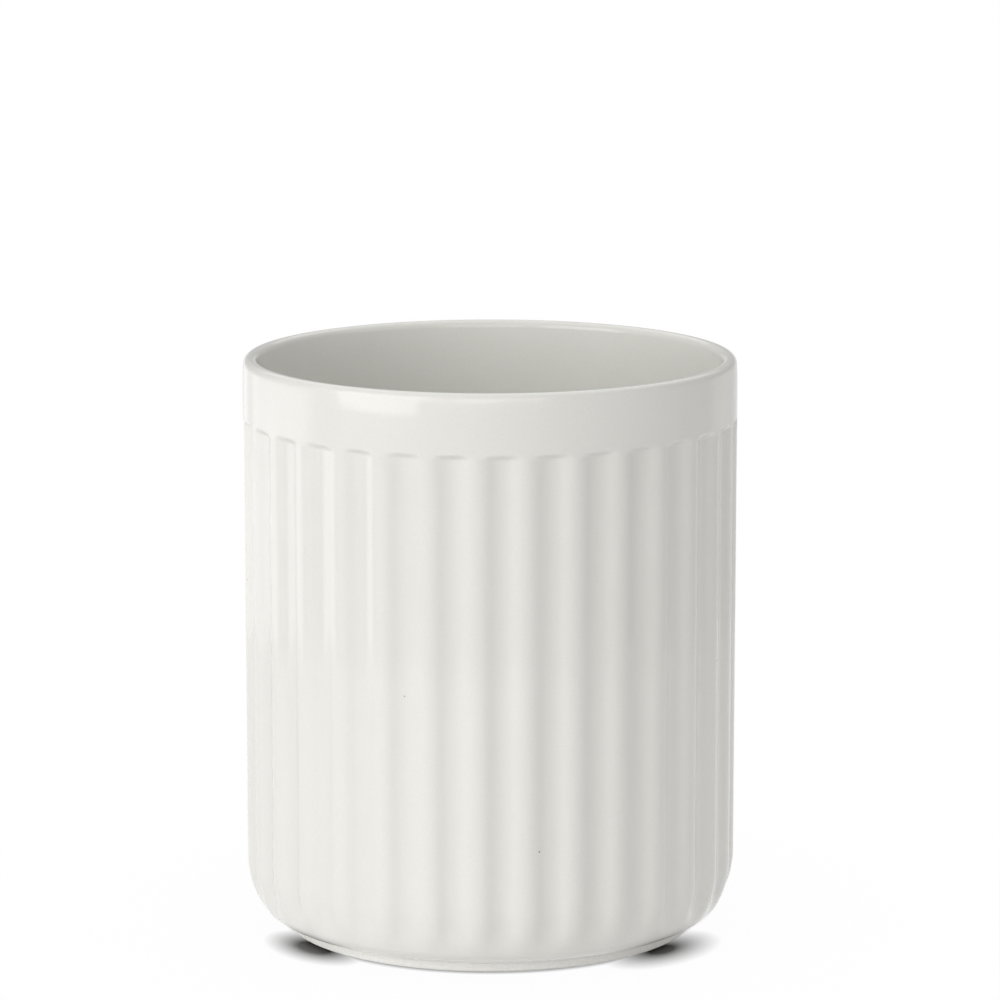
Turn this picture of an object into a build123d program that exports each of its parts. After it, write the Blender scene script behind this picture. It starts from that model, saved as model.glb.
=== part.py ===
"""Fluted stoneware utensil crock with a round cork pad glued under it.

Millimetres, +Z up. The origin is on the crock's axis, on the surface that it stands on.
"""
import os
from math import asin, cos, degrees, radians, sin, sqrt

from build123d import *

os.makedirs("parts", exist_ok=True)

# Crock: overall size, wall and floor
overall_height = 182.0
body_radius = 77.5
wall_thickness = 4.8
floor_thickness = 6.0
rim_rounding = 2.2
floor_corner_radius = 12.0

# Lower corner of the crock: a wide haunch arc, then a tight heel arc down to the flat underside
haunch_radius = 30.0
haunch_angle = 30.0
heel_radius = 9.0

# Foot ring under the crock
foot_height = 3.5
foot_width = 5.5
foot_setback = 0.7
foot_rounding = 0.8
recess_corner_radius = 1.0

# Flutes: shallow grooves down the wall and round the lower corner
flute_count = 32
flute_width = 14.4
flute_depth = 1.8
flute_depth_at_foot = 0.25
flute_end_rounding = 2.6
plain_band_height = 18.4
ridge_shoulder_radius = 8.8
ridge_shoulder_land = 0.15

# Cork pad and the film of adhesive that holds it inside the foot ring
pad_thickness = 3.4
pad_side_clearance = 2.0
pad_below_foot = 0.6
pad_edge_rounding = 0.5
adhesive_thickness = 0.2
adhesive_setback = 1.0

# How far every cutting shape runs past what it cuts
overrun = 12.0

# Heights and radii that follow from these sizes
foot_bottom = pad_below_foot
underside = foot_bottom + foot_height
recess_roof = pad_thickness + adhesive_thickness
floor_top = recess_roof + floor_thickness
inner_radius = body_radius - wall_thickness
flute_top = overall_height - plain_band_height

# Centres of the two corner arcs, as (radius, height), tangent to each other and to the wall
haunch_turn = radians(haunch_angle)
corner_top = underside + haunch_radius * sin(haunch_turn) + heel_radius * (1 - sin(haunch_turn))
haunch_centre = (body_radius - haunch_radius, corner_top)
heel_centre = (
    haunch_centre[0] + (haunch_radius - heel_radius) * cos(haunch_turn),
    haunch_centre[1] - (haunch_radius - heel_radius) * sin(haunch_turn),
)

foot_radius = heel_centre[0] - foot_setback
recess_radius = foot_radius - foot_width
pad_radius = recess_radius - pad_side_clearance
adhesive_radius = pad_radius - adhesive_setback

# Section of a flute: a hollow valley arc between two rounded shoulders, tangent to them
flute_half_width = flute_width / 2
wall_fall_at_edge = body_radius - sqrt(body_radius**2 - flute_half_width**2)
shoulder_offset = flute_half_width - ridge_shoulder_land
valley_rise = flute_depth - wall_fall_at_edge
radii_together = (valley_rise**2 + shoulder_offset**2) / (2 * valley_rise)
valley_radius = radii_together - ridge_shoulder_radius
flank_angle = degrees(asin(shoulder_offset / radii_together))
tool_half_width = flute_half_width + ridge_shoulder_land

# The flute's path turns about axes set inward of the corner arcs' own, so it gets shallower
depth_lost = flute_depth - flute_depth_at_foot
haunch_axis = Axis((haunch_centre[0] - depth_lost, 0, haunch_centre[1]), (0, 1, 0))
heel_axis = Axis((heel_centre[0] - depth_lost, 0, heel_centre[1]), (0, 1, 0))

# Flute tool
# Its section has x outwards from the wall and y along the wall
flute_plane = Plane(origin=(body_radius, 0, corner_top), x_dir=(1, 0, 0), z_dir=(0, 0, 1))
with BuildSketch(flute_plane) as flute_section:
    with BuildLine():
        valley_centre = (valley_radius - flute_depth, 0)
        CenterArc(valley_centre, valley_radius, 180 - flank_angle, 2 * flank_angle)
        for side in (1, -1):
            shoulder_centre = (-wall_fall_at_edge - ridge_shoulder_radius, side * shoulder_offset)
            CenterArc(shoulder_centre, ridge_shoulder_radius, 0, -side * flank_angle)
        Polyline(
            (-wall_fall_at_edge, shoulder_offset),
            (-wall_fall_at_edge, tool_half_width),
            (overrun, tool_half_width),
            (overrun, -tool_half_width),
            (-wall_fall_at_edge, -tool_half_width),
            (-wall_fall_at_edge, -shoulder_offset),
        )
    make_face()

with BuildPart() as flute_tool:
    extrude(flute_section.sketch, amount=flute_top - corner_top)
    end_edges = flute_tool.edges().group_by(Axis.Z)[-1]
    fillet(end_edges.filter_by_position(Axis.X, 0, body_radius), flute_end_rounding)
    revolve(flute_section.sketch, axis=haunch_axis, revolution_arc=haunch_angle)
    haunch_end = flute_tool.faces().sort_by(Axis.Z)[0]
    revolve(haunch_end, axis=heel_axis, revolution_arc=90 - haunch_angle)

# Crock body: one thrown and fluted piece with its foot ring
with BuildPart() as crock_body:
    # Solid form, from the flat underside round the lower corner and up to the rim
    with BuildSketch(Plane.XZ):
        with BuildLine():
            Line((0, underside), (heel_centre[0], underside))
            CenterArc(heel_centre, heel_radius, 270, 90 - haunch_angle)
            CenterArc(haunch_centre, haunch_radius, -haunch_angle, haunch_angle)
            Line((body_radius, corner_top), (body_radius, overall_height - rim_rounding))
            rim_centre = (body_radius - rim_rounding, overall_height - rim_rounding)
            CenterArc(rim_centre, rim_rounding, 0, 90)
            Polyline((rim_centre[0], overall_height), (0, overall_height), (0, underside))
        make_face()
    revolve(axis=Axis.Z)

    # Flutes, with the crest of a ridge facing front
    with PolarLocations(0, flute_count, start_angle=180 / flute_count):
        add(flute_tool.part, mode=Mode.SUBTRACT)

    # Foot, which runs up into the floor and closes the lower ends of the flutes
    with BuildSketch(Plane.XZ):
        with Locations((0, foot_bottom)):
            Rectangle(foot_radius, floor_top - foot_bottom, align=(Align.MIN, Align.MIN))
        outer_corners = vertices().group_by(Axis.X)[-1]
        fillet(outer_corners.sort_by(Axis.Y)[0], foot_rounding)
    revolve(axis=Axis.Z)

    # Inside of the crock, with a rounded floor corner and a rounded inner rim
    with BuildSketch(Plane.XZ):
        with BuildLine():
            Line((0, floor_top), (inner_radius - floor_corner_radius, floor_top))
            corner_centre = (inner_radius - floor_corner_radius, floor_top + floor_corner_radius)
            CenterArc(corner_centre, floor_corner_radius, 270, 90)
            Line((inner_radius, corner_centre[1]), (inner_radius, rim_centre[1]))
            CenterArc((inner_radius + rim_rounding, rim_centre[1]), rim_rounding, 180, -90)
            Polyline(
                (inner_radius + rim_rounding, overall_height),
                (inner_radius + rim_rounding, overall_height + overrun),
                (0, overall_height + overrun),
                (0, floor_top),
            )
        make_face()
    revolve(axis=Axis.Z, mode=Mode.SUBTRACT)

    # Recess inside the foot ring, with a rounded mouth
    with BuildSketch(Plane.XZ):
        with BuildLine():
            Line((0, recess_roof), (recess_radius - recess_corner_radius, recess_roof))
            roof_centre = (recess_radius - recess_corner_radius, recess_roof - recess_corner_radius)
            CenterArc(roof_centre, recess_corner_radius, 90, -90)
            mouth_centre = (recess_radius + foot_rounding, foot_bottom + foot_rounding)
            Line((recess_radius, roof_centre[1]), (recess_radius, mouth_centre[1]))
            CenterArc(mouth_centre, foot_rounding, 180, 90)
            Polyline(
                (mouth_centre[0], foot_bottom),
                (mouth_centre[0], -overrun),
                (0, -overrun),
                (0, recess_roof),
            )
        make_face()
    revolve(axis=Axis.Z, mode=Mode.SUBTRACT)
crock_body.part.label = "crock_body"
export_step(crock_body.part, "parts/crock_body.step")

# Film of adhesive between the pad and the roof of the recess
with BuildPart() as pad_adhesive:
    with BuildSketch(Plane.XY.offset(pad_thickness)):
        Circle(adhesive_radius)
    extrude(amount=adhesive_thickness)
pad_adhesive.part.label = "pad_adhesive"
export_step(pad_adhesive.part, "parts/pad_adhesive.step")

# Cork pad, which the crock stands on
with BuildPart() as base_pad:
    with BuildSketch():
        Circle(pad_radius)
    extrude(amount=pad_thickness)
    fillet(base_pad.edges().group_by(Axis.Z)[0], pad_edge_rounding)
base_pad.part.label = "base_pad"
export_step(base_pad.part, "parts/base_pad.step")

for piece in (crock_body.part, pad_adhesive.part, base_pad.part):
    print(piece.label, "solids", len(piece.solids()), "valid", piece.is_valid, "volume", round(piece.volume, 1))
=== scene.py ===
"""Looks of the fluted stoneware utensil crock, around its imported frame.

Metres, +Z up. The crock's axis is x = y = 0, and it stands on z = 0.
The view from the front looks along +Y.
"""
from math import atan2, cos, pi, radians, sin, sqrt

import bpy
import numpy as np
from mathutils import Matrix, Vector, noise


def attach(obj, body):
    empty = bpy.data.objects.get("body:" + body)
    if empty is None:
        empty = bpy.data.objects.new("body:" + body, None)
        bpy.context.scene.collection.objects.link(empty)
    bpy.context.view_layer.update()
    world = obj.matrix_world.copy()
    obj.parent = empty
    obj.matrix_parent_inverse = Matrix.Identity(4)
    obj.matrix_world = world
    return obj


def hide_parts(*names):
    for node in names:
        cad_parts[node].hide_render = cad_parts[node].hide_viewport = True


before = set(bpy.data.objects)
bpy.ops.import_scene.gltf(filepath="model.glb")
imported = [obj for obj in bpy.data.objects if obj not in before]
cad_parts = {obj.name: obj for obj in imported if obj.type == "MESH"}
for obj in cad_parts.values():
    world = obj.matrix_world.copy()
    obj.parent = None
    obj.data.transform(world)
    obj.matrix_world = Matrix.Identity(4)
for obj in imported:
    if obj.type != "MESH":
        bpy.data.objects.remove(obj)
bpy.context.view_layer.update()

MM = 0.001

# Sizes of the crock, as in the frame
HEIGHT = 182.0 * MM
BODY_R = 77.5 * MM
WALL = 4.8 * MM
RIM_ROUNDING = 2.2 * MM
FLOOR_TOP = 9.6 * MM
FLOOR_CORNER_R = 12.0 * MM
HAUNCH_R = 30.0 * MM
HAUNCH_TURN = radians(30)
HEEL_R = 9.0 * MM
FOOT_BOTTOM = 0.6 * MM
UNDERSIDE = 4.1 * MM
FOOT_SETBACK = 0.7 * MM
FOOT_WIDTH = 5.5 * MM
FOOT_ROUNDING = 0.8 * MM
RECESS_ROOF = 3.6 * MM
RECESS_CORNER_R = 1.0 * MM

# Radius of the ring of points nearest to the middle of the inner floor and of the recess's roof
INNERMOST_RING_R = 2.0 * MM

# The glaze fills the corner above the foot
COVE_R = 1.1 * MM

# The plain band leans in a little under the rim
BAND_LEAN = 0.2 * MM
BAND_LEAN_HEIGHT = 7.5 * MM

# Flutes
FLUTES = 32
HALF_PITCH = pi * BODY_R / FLUTES
FLUTE_DEPTH = 1.8 * MM
RIDGE_BELOW_BAND = 0.08 * MM
DEPTH_LEFT_AT_FOOT = 0.03
FLUTE_TOP = 163.9 * MM
FLUTE_CORNER_R = 3.6 * MM
FLUTE_END_RAMP = 2.2 * MM
ABOVE_FLUTE_ENDS = 0.6 * MM
BELOW_FLUTE_ENDS = 8.4 * MM
COLUMNS_PER_FLUTE = 16

# The flutes get shallower round the lower corner, from this share of its height and over this share
SHALLOWER_FROM = 0.3
SHALLOWER_OVER = 0.62

# Cork pad
PAD_R = 57.487 * MM
PAD_THICKNESS = 3.4 * MM
PAD_ROUNDING = 0.5 * MM
PAD_COLUMNS = 360
PAD_FACE_RINGS = 64
PAD_EDGE_RINGS = 5
PAD_SIDE_RINGS = 5
PAD_INNERMOST_RING_R = 1.0 * MM

# Pits in the cork. A pit's edge is at this share of their spacing, and is this soft and ragged
PIT_DEPTH = 0.32 * MM
PIT_SPACING = 5.5 * MM
PIT_SHARE = 0.28
PIT_SOFTNESS = 0.14
PIT_RAGGEDNESS = 0.16
PIT_RAG_LENGTH = 1.2 * MM

# Colours of the glaze, of the bare clay on the foot's face, of the cork and of the adhesive
GLAZE_ON_RIDGES = (0.838, 0.829, 0.788)
GLAZE_IN_FLUTES = (0.812, 0.804, 0.763)
# Painted light: the foot's glaze is paler to stand in for light thrown up from the floor
GLAZE_PAINTED_LIGHT_ON_FOOT = (0.95, 0.945, 0.91)
GLAZE_GRAIN = (0.77, 0.755, 0.70)
IRON_SPECK = (0.17, 0.13, 0.09)
CLAY_PALE = (0.60, 0.50, 0.39)
CLAY_DARK = (0.47, 0.385, 0.295)
SAND_DARK = (0.27, 0.205, 0.15)
SAND_PALE = (0.74, 0.67, 0.57)
CORK_PALE = (0.60, 0.40, 0.22)
CORK_DARK = (0.36, 0.215, 0.105)
CORK_BARK = (0.12, 0.065, 0.035)
CORK_PORE = (0.25, 0.145, 0.07)
CORK_GLUE = (0.15, 0.085, 0.04)
# Painted shade in the cork's pits
CORK_PIT_PAINTED_SHADE = (0.10, 0.055, 0.03)
ADHESIVE_PALE = (0.66, 0.58, 0.42)
ADHESIVE_DARK = (0.52, 0.44, 0.29)
ADHESIVE_BUBBLE = (0.80, 0.75, 0.64)

# Soft lamps: azimuth and elevation in degrees, distance, width and height in metres, and watts
LAMPS = {
    "key": (-49, 20, 1.3, 1.0, 1.15, 7.9),
    "front": (8, 22, 1.3, 0.9, 0.9, 2.7),
    "right": (70, 22, 1.3, 0.9, 0.9, 0.95),
    "low_front": (-12, 9, 1.3, 0.9, 0.4, 1.1),
    "low_strip": (-113.5, -8, 1.3, 1.2, 0.34, 0.8),
    "low_strip_end": (-147.5, -8, 1.4, 0.42, 0.34, 0.115),
    "back": (180, 60, 1.3, 1.6, 1.6, 6.0),
}

# The room in gloss, as (share of a turn, level), from the front by the left, the back and the right
ROOM = (
    (0.0, 0.35), (0.234, 0.32), (0.243, 0.98), (0.33, 0.95), (0.35, 0.7), (0.41, 0.7), (0.43, 0.98),
    (0.5, 0.98), (0.57, 0.72), (0.61, 0.92), (0.64, 0.92), (0.65, 0.68), (0.8, 0.85), (1.0, 0.35),
)

# Level of the room above the horizon, reached at this height of the direction's unit vector
ROOM_ABOVE = 0.42
ROOM_ABOVE_FROM = 0.12

# Strength of the soft light that falls on the object from all round
WORLD_LIGHT = 0.45

# Patches of painted contact shadow on the floor, where it keeps its real shade and the painted crevice
# shade: x and y in mm, turn in degrees, length over width, and the distances across it between which
# it fades out, in mm
PAINTED_SHADOW_PATCHES = (
    (-53.2, -38, -56, 1.8, 4, 13),
    (55.3, -35, 58, 1.75, 3, 15),
)

# Where else the floor keeps its real and painted shade, in mm: a ring behind the foot, about a point
# behind the axis, and a thin line in front. Each fades out between two distances
SHADOW_RING_Y = 22
SHADOW_RING_FADE = (66, 72)
SHADOW_LINE_FADE = (60.5, 65.5)

# Outside the shadow the floor is nearly white, and between these distances, in mm, it fades wholly
# into the white surroundings
NEAR_WHITE = 0.98
FLOOR_FADE = (81, 180)

# The floor lies just under the pad's flat face, and has painted shade where the crock is close above
# it
FLOOR_RADIUS = 0.5
FLOOR_Z = -0.05 * MM
FLOOR_COLOUR = (0.84, 0.84, 0.84)
PAINTED_CREVICE_SHADE = (0.02, 0.02, 0.02)
CREVICE_REACH = 25 * MM
CREVICE_POWER = 1.3

# Camera at the photograph's angle: radians and metres, and the lens and its sensor in mm
CAMERA_TURN = radians(2.7)
CAMERA_PITCH = 0.1843
CAMERA_DISTANCE = 1.490
CAMERA_SIDESTEP = 0.00314
CAMERA_HEIGHT = 0.4135
CAMERA_LENS = 173.4
CAMERA_SENSOR = 36


def arc(centre, radius, start, end, steps):
    """Points (radius, height) along an arc of the outline, without its first point."""
    angles = np.linspace(start, end, steps + 1)[1:]
    return [(centre[0] + radius * cos(a), centre[1] + radius * sin(a)) for a in angles]


def run(start, end, steps):
    """Points along a straight stretch of the outline, without its first point."""
    shares = np.linspace(0, 1, steps + 1)[1:]
    return [(start[0] + (end[0] - start[0]) * s, start[1] + (end[1] - start[1]) * s) for s in shares]


def corner_and_foot():
    """The centres of the two lower corner arcs, and the foot's outer radius."""
    corner_top = UNDERSIDE + HAUNCH_R * sin(HAUNCH_TURN) + HEEL_R * (1 - sin(HAUNCH_TURN))
    haunch = (BODY_R - HAUNCH_R, corner_top)
    reach = HAUNCH_R - HEEL_R
    heel = (haunch[0] + reach * cos(HAUNCH_TURN), haunch[1] - reach * sin(HAUNCH_TURN))
    return haunch, heel, heel[0] - FOOT_SETBACK


def left_of(points):
    """The unit directions to the left of an outline, as it is followed from its first point."""
    along = np.gradient(points, axis=0)
    along /= np.linalg.norm(along, axis=1)[:, None]
    return np.stack([-along[:, 1], along[:, 0]], axis=1)


def crock_outline():
    """The outline from the middle of the inner floor, over the rim and down to the recess's roof.

    Returns the points, the first and last that may be fluted, and the first and last of the foot's
    bare face. The foot's glazed side lies between the two.
    """
    inner_r = BODY_R - WALL
    rim_r = BODY_R - BAND_LEAN
    rim_z = HEIGHT - RIM_ROUNDING
    quarter = pi / 2
    haunch, heel, foot_r = corner_and_foot()
    recess_r = foot_r - FOOT_WIDTH
    points = [(INNERMOST_RING_R, FLOOR_TOP)]
    points += run(points[-1], (inner_r - FLOOR_CORNER_R, FLOOR_TOP), 12)
    floor_corner = (inner_r - FLOOR_CORNER_R, FLOOR_TOP + FLOOR_CORNER_R)
    points += arc(floor_corner, FLOOR_CORNER_R, -quarter, 0, 14)
    points += run(points[-1], (inner_r, rim_z), 28)
    points += arc((inner_r + RIM_ROUNDING, rim_z), RIM_ROUNDING, pi, quarter, 8)
    points += run(points[-1], (rim_r - RIM_ROUNDING, HEIGHT), 2)
    lean_turn = atan2(2 * BAND_LEAN, BAND_LEAN_HEIGHT)
    points += arc((rim_r - RIM_ROUNDING, rim_z), RIM_ROUNDING, quarter, lean_turn, 8)
    lean_z = points[-1][1]
    for share in np.linspace(0, 1, 9)[1:]:
        points.append((rim_r + BAND_LEAN * (1 - (1 - share) ** 2), lean_z - BAND_LEAN_HEIGHT * share))
    points += run(points[-1], (BODY_R, FLUTE_TOP + ABOVE_FLUTE_ENDS), 6)
    fluted_from = len(points)
    points += run(points[-1], (BODY_R, FLUTE_TOP - BELOW_FLUTE_ENDS), 24)
    points += run(points[-1], (BODY_R, haunch[1]), 40)
    points += arc(haunch, HAUNCH_R, 0, -HAUNCH_TURN, 16)
    cove_r = foot_r + COVE_R
    cove = (cove_r, heel[1] - sqrt((HEEL_R + COVE_R) ** 2 - (cove_r - heel[0]) ** 2))
    cove_turn = atan2(heel[1] - cove[1], heel[0] - cove[0])
    points += arc(heel, HEEL_R, -HAUNCH_TURN, cove_turn - pi, 18)
    fluted_to = len(points) - 1
    points += arc(cove, COVE_R, cove_turn, pi, 6)
    edge_z = FOOT_BOTTOM + FOOT_ROUNDING
    points += run(points[-1], (foot_r, edge_z), 4)
    points += arc((foot_r - FOOT_ROUNDING, edge_z), FOOT_ROUNDING, 0, -quarter, 6)
    # The bare face takes in the last step of the outer edge and the first two of the inner edge
    bare_from = len(points) - 2
    points += run(points[-1], (recess_r + FOOT_ROUNDING, FOOT_BOTTOM), 6)
    points += arc((recess_r + FOOT_ROUNDING, edge_z), FOOT_ROUNDING, -quarter, -pi, 6)
    bare_to = len(points) - 5
    roof_corner = (recess_r - RECESS_CORNER_R, RECESS_ROOF - RECESS_CORNER_R)
    points += run(points[-1], (recess_r, roof_corner[1]), 3)
    points += arc(roof_corner, RECESS_CORNER_R, 0, quarter, 4)
    points += run(points[-1], (INNERMOST_RING_R, RECESS_ROOF), 10)
    return np.array(points), (fluted_from, fluted_to), (bare_from, bare_to)


def flute_section(offset):
    """How far the wall is pressed in at an offset along it from the middle of a flute.

    A hollow arc and a rounded ridge of the same width, with the same slope where they meet.
    """
    offset = np.minimum(np.abs(offset), HALF_PITCH)
    slope = 2 * atan2(FLUTE_DEPTH - RIDGE_BELOW_BAND, HALF_PITCH)
    meet = HALF_PITCH / 2
    radius = meet / sin(slope)
    valley = FLUTE_DEPTH - radius + np.sqrt(np.maximum(radius**2 - offset**2, 0))
    from_ridge = HALF_PITCH - offset
    ridge = RIDGE_BELOW_BAND + radius - np.sqrt(np.maximum(radius**2 - from_ridge**2, 0))
    return np.where(offset < meet, valley, ridge)


def smooth_step(value):
    value = np.clip(value, 0, 1)
    return value * value * (3 - 2 * value)


def flute_end(offset, height):
    """0 above a flute's rounded upper end, and 1 a little way below it."""
    into_corner = np.clip(np.abs(offset) - (HALF_PITCH - FLUTE_CORNER_R), 0, FLUTE_CORNER_R)
    drop = FLUTE_CORNER_R - np.sqrt(FLUTE_CORNER_R**2 - into_corner**2)
    return smooth_step((FLUTE_TOP - drop - height) / FLUTE_END_RAMP)


def ring_faces(rings, columns, first_centre, last_centre):
    """Quads between rings of points, and a fan from each end ring to its middle point."""
    faces = []
    for ring in range(rings - 1):
        low = ring * columns
        for c in range(columns):
            d = (c + 1) % columns
            faces.append((low + c, low + columns + c, low + columns + d, low + d))
    top = (rings - 1) * columns
    for c in range(columns):
        d = (c + 1) % columns
        faces.append((first_centre, c, d))
        faces.append((last_centre, top + d, top + c))
    return faces


def finish_mesh(name, verts, faces):
    mesh = bpy.data.meshes.new(name)
    mesh.from_pydata(verts.tolist(), [], faces)
    mesh.validate()
    mesh.polygons.foreach_set("use_smooth", [True] * len(mesh.polygons))
    mesh.update()
    return mesh


def keep_value(mesh, name, values):
    """Keeps a number at each point of the mesh, for its material to use."""
    attribute = mesh.attributes.new(name, "FLOAT", "POINT")
    attribute.data.foreach_set("value", np.array(values, dtype=np.float32))


def place(name, mesh, node):
    """Puts a new piece where the CAD node is, to stand for it."""
    piece = bpy.data.objects.new(name, mesh)
    bpy.context.collection.objects.link(piece)
    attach(piece, "root")
    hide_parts(node)
    return piece


def crock_mesh():
    """The crock as rings of points, with its flutes pressed into the outer side."""
    points, fluted, bare = crock_outline()
    corner_top = corner_and_foot()[0][1]
    outward = left_of(points)
    columns = FLUTES * COLUMNS_PER_FLUTE
    turn = 2 * pi * np.arange(columns) / columns
    pitch = 2 * pi / FLUTES
    # A ridge faces -Y, at three quarters of a full turn
    offset = ((turn - 1.5 * pi) % pitch - pitch / 2) * BODY_R
    section = flute_section(offset)
    rings, depths = [], []
    for index, (radius, height) in enumerate(points):
        depth = np.zeros(columns)
        if fluted[0] <= index <= fluted[1]:
            below = np.clip((corner_top - height) / (corner_top - UNDERSIDE), 0, 1)
            lost = smooth_step((below - SHALLOWER_FROM) / SHALLOWER_OVER)
            kept = 1 - (1 - DEPTH_LEFT_AT_FOOT) * lost
            depth = section * kept * flute_end(offset, height)
        r = radius - outward[index, 0] * depth
        z = height - outward[index, 1] * depth
        rings.append(np.stack([r * np.cos(turn), r * np.sin(turn), z], axis=1))
        depths.append(depth / FLUTE_DEPTH)
    count = len(points)
    verts = np.concatenate(rings + [[(0, 0, FLOOR_TOP)], [(0, 0, RECESS_ROOF)]])
    faces = ring_faces(count, columns, count * columns, count * columns + 1)
    mesh = finish_mesh("crock_shell", verts, faces)
    keep_value(mesh, "flute_depth", np.concatenate(depths + [[0.0, 0.0]]))
    # Painted light: the foot's glaze is painted paler, for light thrown up from the floor, from half
    # way down the cove
    on_foot = [np.full(columns, float(fluted[1] + 3 <= index <= bare[0])) for index in range(count)]
    keep_value(mesh, "foot_painted_light", np.concatenate(on_foot + [[0.0, 0.0]]))
    which = np.zeros(len(mesh.polygons), dtype=np.int32)
    which[bare[0] * columns : bare[1] * columns] = 1
    mesh.polygons.foreach_set("material_index", which)
    return mesh


def pad_mesh():
    """The cork pad, with small pits between the granules of its lower face and edge."""
    quarter = pi / 2
    points = [(PAD_INNERMOST_RING_R, 0.0)]
    points += run(points[-1], (PAD_R - PAD_ROUNDING, 0.0), PAD_FACE_RINGS)
    edge = (PAD_R - PAD_ROUNDING, PAD_ROUNDING)
    points += arc(edge, PAD_ROUNDING, -quarter, 0, PAD_EDGE_RINGS)
    points += run(points[-1], (PAD_R, PAD_THICKNESS), PAD_SIDE_RINGS)
    points += run(points[-1], (PAD_INNERMOST_RING_R, PAD_THICKNESS), 8)
    points = np.array(points)
    outward = -left_of(points)
    turn = 2 * pi * np.arange(PAD_COLUMNS) / PAD_COLUMNS
    # The two highest rings of the side are left as they are
    last_pitted = PAD_FACE_RINGS + PAD_EDGE_RINGS + PAD_SIDE_RINGS - 2
    verts, pits = [], []
    for index, (radius, height) in enumerate(points):
        for angle in turn:
            spot = Vector((radius * cos(angle), radius * sin(angle), height))
            pit = 0.0
            if 0 < index <= last_pitted:
                near = noise.voronoi(spot / PIT_SPACING)[0]
                ragged = PIT_RAGGEDNESS * noise.noise(spot / PIT_RAG_LENGTH)
                pit = float(smooth_step((PIT_SHARE + ragged - near[0]) / PIT_SOFTNESS))
            r = radius - outward[index, 0] * pit * PIT_DEPTH
            z = height - outward[index, 1] * pit * PIT_DEPTH
            verts.append((r * cos(angle), r * sin(angle), z))
            pits.append(pit)
    verts += [(0, 0, 0), (0, 0, PAD_THICKNESS)]
    count = len(points)
    faces = ring_faces(count, PAD_COLUMNS, count * PAD_COLUMNS, count * PAD_COLUMNS + 1)
    mesh = finish_mesh("cork_disc", np.array(verts), [tuple(reversed(face)) for face in faces])
    keep_value(mesh, "pit_depth", pits + [0.0, 0.0])
    return mesh


# Shading helpers. Every pattern follows the surface's own place on the object, in metres


def new_material(name):
    material = bpy.data.materials.new(name)
    material.use_nodes = True
    tree = material.node_tree
    return material, tree, tree.nodes["Principled BSDF"]


def place_on_object(tree):
    return tree.nodes.new("ShaderNodeTexCoord").outputs["Object"]


def noise_texture(tree, scale, detail):
    texture = tree.nodes.new("ShaderNodeTexNoise")
    texture.inputs["Scale"].default_value = scale
    texture.inputs["Detail"].default_value = detail
    tree.links.new(place_on_object(tree), texture.inputs["Vector"])
    return texture


def noise_value(tree, scale, detail):
    return noise_texture(tree, scale, detail).outputs["Fac"]


def cell_texture(tree, scale, feature="F1", coords=None):
    texture = tree.nodes.new("ShaderNodeTexVoronoi")
    texture.feature = feature
    texture.inputs["Scale"].default_value = scale
    coords = place_on_object(tree) if coords is None else coords
    tree.links.new(coords, texture.inputs["Vector"])
    return texture


def colour_parts(tree, colour):
    parts = tree.nodes.new("ShaderNodeSeparateColor")
    tree.links.new(colour, parts.inputs["Color"])
    return parts.outputs


def remap(tree, value, low, high, to_low, to_high):
    step = tree.nodes.new("ShaderNodeMapRange")
    step.inputs["From Min"].default_value = low
    step.inputs["From Max"].default_value = high
    step.inputs["To Min"].default_value = to_low
    step.inputs["To Max"].default_value = to_high
    tree.links.new(value, step.inputs["Value"])
    return step.outputs["Result"]


def noise_between(tree, scale, detail, low, high):
    """Noise with its usual spread, 0.3 to 0.7, brought to low to high."""
    return remap(tree, noise_value(tree, scale, detail), 0.3, 0.7, low, high)


def calculate(tree, operation, first, second):
    step = tree.nodes.new("ShaderNodeMath")
    step.operation = operation
    for value, socket in ((first, step.inputs[0]), (second, step.inputs[1])):
        if isinstance(value, (int, float)):
            socket.default_value = value
        else:
            tree.links.new(value, socket)
    return step.outputs[0]


def blend_colour(tree, share, first, second):
    """A colour that goes from the first to the second as the share goes from 0 to 1."""
    step = tree.nodes.new("ShaderNodeMix")
    step.data_type = "RGBA"
    tree.links.new(share, step.inputs["Factor"])
    for value, socket in ((first, step.inputs["A"]), (second, step.inputs["B"])):
        if isinstance(value, tuple):
            socket.default_value = (*value, 1)
        else:
            tree.links.new(value, socket)
    return step.outputs["Result"]


def point_value(tree, name):
    """A number that the mesh keeps at each of its points."""
    step = tree.nodes.new("ShaderNodeAttribute")
    step.attribute_name = name
    return step.outputs["Fac"]


def relief(tree, height, depth, under=None):
    """A surface direction that a height from 0 to 1 over a depth in metres tilts."""
    step = tree.nodes.new("ShaderNodeBump")
    step.inputs["Distance"].default_value = depth
    tree.links.new(height, step.inputs["Height"])
    if under is not None:
        tree.links.new(under, step.inputs["Normal"])
    return step.outputs["Normal"]


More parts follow.
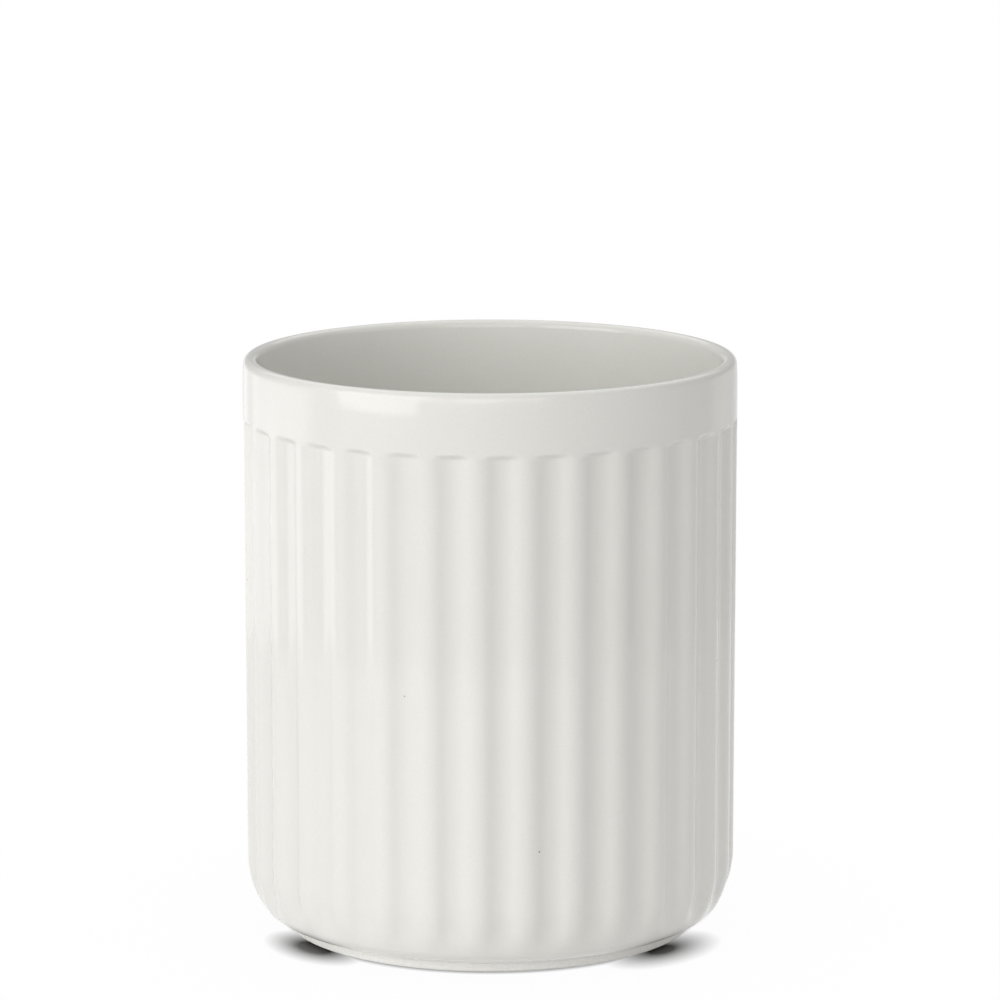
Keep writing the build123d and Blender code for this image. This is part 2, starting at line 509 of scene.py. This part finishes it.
def glaze_material():
    """Off-white satin glaze with iron specks.

    It is thinner on the ridges and deeper in the flutes. The foot is painted paler, as painted light.
    """
    material, tree, shader = new_material("off_white_glaze")
    clouds = noise_between(tree, 42, 3, -0.1, 0.45)
    in_flutes = calculate(tree, "MULTIPLY", point_value(tree, "flute_depth"), 0.55)
    pooled = calculate(tree, "ADD", in_flutes, clouds)
    colour = blend_colour(tree, pooled, GLAZE_ON_RIDGES, GLAZE_IN_FLUTES)
    # Painted light: the foot is paler
    colour = blend_colour(tree, point_value(tree, "foot_painted_light"), colour, GLAZE_PAINTED_LIGHT_ON_FOOT)
    grain = noise_between(tree, 1500, 1, 0.0, 1.0)
    colour = blend_colour(tree, calculate(tree, "MULTIPLY", grain, 0.35), colour, GLAZE_GRAIN)
    cells = cell_texture(tree, 95)
    rare = remap(tree, colour_parts(tree, cells.outputs["Color"])["Red"], 0.72, 0.74, 0.0, 1.0)
    dot = remap(tree, cells.outputs["Distance"], 0.022, 0.036, 0.75, 0.0)
    colour = blend_colour(tree, calculate(tree, "MULTIPLY", dot, rare), colour, IRON_SPECK)
    tree.links.new(colour, shader.inputs["Base Color"])
    tree.links.new(noise_between(tree, 65, 3, 0.36, 0.44), shader.inputs["Roughness"])
    shader.inputs["Specular IOR Level"].default_value = 0.3
    shader.inputs["Coat Weight"].default_value = 0.9
    shader.inputs["Coat Roughness"].default_value = 0.07
    waves = relief(tree, noise_value(tree, 60, 1), 0.07 * MM)
    tree.links.new(relief(tree, noise_value(tree, 620, 2), 0.012 * MM, waves), shader.inputs["Normal"])
    tree.links.new(waves, shader.inputs["Coat Normal"])
    return material


def bare_stoneware_material():
    """Unglazed, wiped clay on the face of the foot, with sand in it."""
    material, tree, shader = new_material("bare_stoneware")
    body = blend_colour(tree, noise_value(tree, 130, 4), CLAY_PALE, CLAY_DARK)
    sand = remap(tree, noise_value(tree, 1900, 1), 0.60, 0.70, 0.0, 0.6)
    colour = blend_colour(tree, sand, body, SAND_DARK)
    pale = remap(tree, noise_value(tree, 1300, 1), 0.62, 0.70, 0.0, 0.5)
    tree.links.new(blend_colour(tree, pale, colour, SAND_PALE), shader.inputs["Base Color"])
    tree.links.new(noise_between(tree, 400, 2, 0.78, 0.95), shader.inputs["Roughness"])
    tree.links.new(relief(tree, noise_value(tree, 1200, 3), 0.12 * MM), shader.inputs["Normal"])
    return material


def granules(tree, coords, scale):
    """Cells about 1 / scale metres across.

    Returns the parts of their colours, and the distance to the nearest seam in metres.
    """
    cells = cell_texture(tree, scale, "F1", coords)
    edges = cell_texture(tree, scale, "DISTANCE_TO_EDGE", coords)
    seam = calculate(tree, "DIVIDE", edges.outputs["Distance"], scale)
    return colour_parts(tree, cells.outputs["Color"]), seam


def cork_material():
    """Pressed cork: ragged granules in several browns and sizes, glue, bark chips, and painted shade
    in the pits.
    """
    material, tree, shader = new_material("pressed_cork")
    small = tree.nodes.new("ShaderNodeVectorMath")
    small.operation = "SCALE"
    small.inputs["Scale"].default_value = 2.6 * MM
    tree.links.new(noise_texture(tree, 310, 4).outputs["Color"], small.inputs[0])
    ragged = tree.nodes.new("ShaderNodeVectorMath")
    ragged.operation = "ADD"
    tree.links.new(place_on_object(tree), ragged.inputs[0])
    tree.links.new(small.outputs[0], ragged.inputs[1])
    # Large granules, about half of them broken into small ones
    large, large_seam = granules(tree, ragged.outputs[0], 330)
    broken, broken_seam = granules(tree, ragged.outputs[0], 760)
    split = remap(tree, large["Blue"], 0.45, 0.46, 0.0, 1.0)
    tone = blend_colour(tree, split, large["Red"], broken["Red"])
    kind = blend_colour(tree, split, large["Green"], broken["Green"])
    seam_if_broken = calculate(tree, "ADD", broken_seam, calculate(tree, "SUBTRACT", 1.0, split))
    seam = calculate(tree, "MINIMUM", large_seam, seam_if_broken)
    colour = blend_colour(tree, tone, CORK_PALE, CORK_DARK)
    bark = remap(tree, kind, 0.88, 0.93, 0.0, 0.85)
    colour = blend_colour(tree, bark, colour, CORK_BARK)
    pores = remap(tree, noise_value(tree, 2300, 3), 0.52, 0.70, 0.0, 0.55)
    colour = blend_colour(tree, pores, colour, CORK_PORE)
    glue = remap(tree, seam, 0.0, 0.20 * MM, 0.7, 0.0)
    patchy = remap(tree, noise_value(tree, 520, 2), 0.36, 0.62, 0.1, 1.0)
    colour = blend_colour(tree, calculate(tree, "MULTIPLY", glue, patchy), colour, CORK_GLUE)
    # Painted shade: the pits are darkened by their depth
    pit = calculate(tree, "MULTIPLY", point_value(tree, "pit_depth"), 0.75)
    tree.links.new(blend_colour(tree, pit, colour, CORK_PIT_PAINTED_SHADE), shader.inputs["Base Color"])
    tree.links.new(remap(tree, tone, 0, 1, 0.72, 0.9), shader.inputs["Roughness"])
    shape = relief(tree, remap(tree, seam, 0.0, 0.45 * MM, 0.0, 1.0), 0.18 * MM)
    tree.links.new(relief(tree, noise_value(tree, 2300, 3), 0.07 * MM, shape), shader.inputs["Normal"])
    return material


def adhesive_material():
    """Cured clear-amber glue, with small bubbles."""
    material, tree, shader = new_material("cured_adhesive")
    tone = blend_colour(tree, noise_value(tree, 160, 3), ADHESIVE_PALE, ADHESIVE_DARK)
    bubbles = remap(tree, cell_texture(tree, 900).outputs["Distance"], 0.16, 0.26, 0.7, 0.0)
    tree.links.new(blend_colour(tree, bubbles, tone, ADHESIVE_BUBBLE), shader.inputs["Base Color"])
    waves = noise_value(tree, 300, 2)
    tree.links.new(remap(tree, waves, 0.3, 0.7, 0.25, 0.45), shader.inputs["Roughness"])
    tree.links.new(relief(tree, waves, 0.04 * MM), shader.inputs["Normal"])
    return material


crock = place("crock_shell", crock_mesh(), "crock_body")
crock.data.materials.append(glaze_material())
crock.data.materials.append(bare_stoneware_material())

pad = place("cork_disc", pad_mesh(), "base_pad")
pad.data.materials.append(cork_material())

bpy.data.objects["pad_adhesive"].material_slots[0].material = adhesive_material()


# Floor and surroundings


def seen_directly(tree):
    """1 for what is seen, directly, in gloss or through glass, and 0 for light on things."""
    path = tree.nodes.new("ShaderNodeLightPath")
    either = calculate(tree, "MAXIMUM", path.outputs["Is Camera Ray"], path.outputs["Is Glossy Ray"])
    return calculate(tree, "MAXIMUM", either, path.outputs["Is Transmission Ray"])


def distance_from(tree, coords, point):
    step = tree.nodes.new("ShaderNodeVectorMath")
    step.operation = "DISTANCE"
    step.inputs[1].default_value = point
    tree.links.new(coords, step.inputs[0])
    return step.outputs["Value"]


def fade_over(tree, distance, ends, first, last):
    """A value that goes from first to last between two distances, which are given in mm."""
    return remap(tree, distance, ends[0] * MM, ends[1] * MM, first, last)


def output_blend(tree, output, share, first, second):
    """Outputs a shader that goes from the first to the second as the share goes from 0 to 1."""
    mix = tree.nodes.new("ShaderNodeMixShader")
    tree.links.new(share, mix.inputs["Fac"])
    tree.links.new(first.outputs[0], mix.inputs[1])
    tree.links.new(second.outputs[0], mix.inputs[2])
    tree.links.new(mix.outputs[0], output.inputs["Surface"])


def studio_floor():
    """A white floor that keeps real and painted shade close to the crock and fades into the white
    surroundings.
    """
    bpy.ops.mesh.primitive_circle_add(
        vertices=96, radius=FLOOR_RADIUS, fill_type="NGON", location=(0, 0, FLOOR_Z)
    )
    floor = bpy.context.object
    floor.name = "studio_floor"
    material = bpy.data.materials.new("studio_floor")
    material.use_nodes = True
    tree = material.node_tree
    tree.nodes.clear()
    output = tree.nodes.new("ShaderNodeOutputMaterial")
    matte = tree.nodes.new("ShaderNodeBsdfDiffuse")
    crevice = tree.nodes.new("ShaderNodeAmbientOcclusion")
    crevice.inputs["Distance"].default_value = CREVICE_REACH
    # Painted shade: the crevice under the crock is darkened to the eye only, and bounces light as the
    # open floor does
    open_share = calculate(tree, "POWER", crevice.outputs["AO"], CREVICE_POWER)
    closed = calculate(tree, "SUBTRACT", 1.0, open_share)
    closed = calculate(tree, "MULTIPLY", closed, seen_directly(tree))
    openness = calculate(tree, "SUBTRACT", 1.0, closed)
    colour = blend_colour(tree, openness, PAINTED_CREVICE_SHADE, FLOOR_COLOUR)
    tree.links.new(colour, matte.inputs["Color"])
    white = tree.nodes.new("ShaderNodeEmission")
    # The painted contact shadow is a patch at each side of the foot, a narrow ring behind it and a
    # thin line in front
    coords = place_on_object(tree)
    from_ring = distance_from(tree, coords, (0, SHADOW_RING_Y * MM, 0))
    from_axis = distance_from(tree, coords, (0, 0, 0))
    ring_fade = fade_over(tree, from_ring, SHADOW_RING_FADE, 0.0, NEAR_WHITE)
    line_fade = fade_over(tree, from_axis, SHADOW_LINE_FADE, 0.0, NEAR_WHITE)
    near_fade = calculate(tree, "MINIMUM", ring_fade, line_fade)
    for x, y, turn, length, inner, outer in PAINTED_SHADOW_PATCHES:
        patch = tree.nodes.new("ShaderNodeMapping")
        patch.vector_type = "TEXTURE"
        patch.inputs["Location"].default_value = (x * MM, y * MM, 0)
        patch.inputs["Rotation"].default_value = (0, 0, radians(turn))
        patch.inputs["Scale"].default_value = (length, 1, 1)
        tree.links.new(coords, patch.inputs["Vector"])
        from_patch = distance_from(tree, patch.outputs[0], (0, 0, 0))
        side_fade = fade_over(tree, from_patch, (inner, outer), 0.0, NEAR_WHITE)
        near_fade = calculate(tree, "MINIMUM", near_fade, side_fade)
    far_fade = fade_over(tree, from_axis, FLOOR_FADE, 0.0, 1 - NEAR_WHITE)
    fade = calculate(tree, "ADD", near_fade, far_fade)
    fade = calculate(tree, "MULTIPLY", fade, seen_directly(tree))
    output_blend(tree, output, fade, matte, white)
    floor.data.materials.append(material)


def surroundings():
    """White to the eye, a pale room in gloss, and a plain soft light on the object."""
    world = bpy.data.worlds.new("surroundings")
    bpy.context.scene.world = world
    world.use_nodes = True
    tree = world.node_tree
    tree.nodes.clear()
    output = tree.nodes.new("ShaderNodeOutputWorld")
    light = tree.nodes.new("ShaderNodeBackground")
    light.inputs["Strength"].default_value = WORLD_LIGHT
    seen = tree.nodes.new("ShaderNodeBackground")
    parts = tree.nodes.new("ShaderNodeSeparateXYZ")
    direction = tree.nodes.new("ShaderNodeTexCoord").outputs["Generated"]
    tree.links.new(direction, parts.inputs[0])
    bearing = calculate(tree, "ARCTAN2", parts.outputs["X"], parts.outputs["Y"])
    room = tree.nodes.new("ShaderNodeValToRGB")
    room.color_ramp.interpolation = "LINEAR"
    ramp = room.color_ramp.elements
    while len(ramp) < len(ROOM):
        ramp.new(0.5)
    for element, (position, level) in zip(ramp, ROOM):
        element.position = position
        element.color = (level, level, level, 1)
    tree.links.new(remap(tree, bearing, -pi, pi, 0.0, 1.0), room.inputs["Fac"])
    # The room is brightest below the horizon, and dimmer above it
    above = remap(tree, parts.outputs["Z"], 0.0, ROOM_ABOVE_FROM, 0.0, 1.0)
    in_gloss = blend_colour(tree, above, room.outputs["Color"], (ROOM_ABOVE,) * 3)
    to_camera = tree.nodes.new("ShaderNodeLightPath").outputs["Is Camera Ray"]
    tree.links.new(blend_colour(tree, to_camera, in_gloss, (1.0, 1.0, 1.0)), seen.inputs["Color"])
    output_blend(tree, output, seen_directly(tree), light, seen)


def softbox(name, azimuth, elevation, distance, width, height, watts):
    """A soft lamp that faces the crock; azimuth 0 is the front and positive is to the right."""
    data = bpy.data.lights.new(name, "AREA")
    data.shape = "RECTANGLE"
    data.size = width
    data.size_y = height
    data.energy = watts
    lamp = bpy.data.objects.new(name, data)
    bpy.context.collection.objects.link(lamp)
    lamp.visible_camera = False
    a, e = radians(azimuth), radians(elevation)
    middle = Vector((0, 0, HEIGHT / 2))
    lamp.location = middle + Vector((sin(a) * cos(e), -cos(a) * cos(e), sin(e))) * distance
    lamp.rotation_euler = (middle - lamp.location).to_track_quat("-Z", "Y").to_euler()


studio_floor()
surroundings()
for lamp_name, lamp_values in LAMPS.items():
    softbox(lamp_name, *lamp_values)

right = Vector((cos(CAMERA_TURN), sin(CAMERA_TURN), 0))
back = Vector((sin(CAMERA_TURN), -cos(CAMERA_TURN), 0))
camera_data = bpy.data.cameras.new("camera")
camera_data.sensor_width = CAMERA_SENSOR
camera_data.lens = CAMERA_LENS
camera = bpy.data.objects.new("camera", camera_data)
bpy.context.collection.objects.link(camera)
camera.location = back * CAMERA_DISTANCE + right * CAMERA_SIDESTEP + Vector((0, 0, CAMERA_HEIGHT))
camera.rotation_euler = (pi / 2 - CAMERA_PITCH, 0, CAMERA_TURN)
bpy.context.scene.camera = camera
bpy.context.scene.view_settings.view_transform = "Standard"
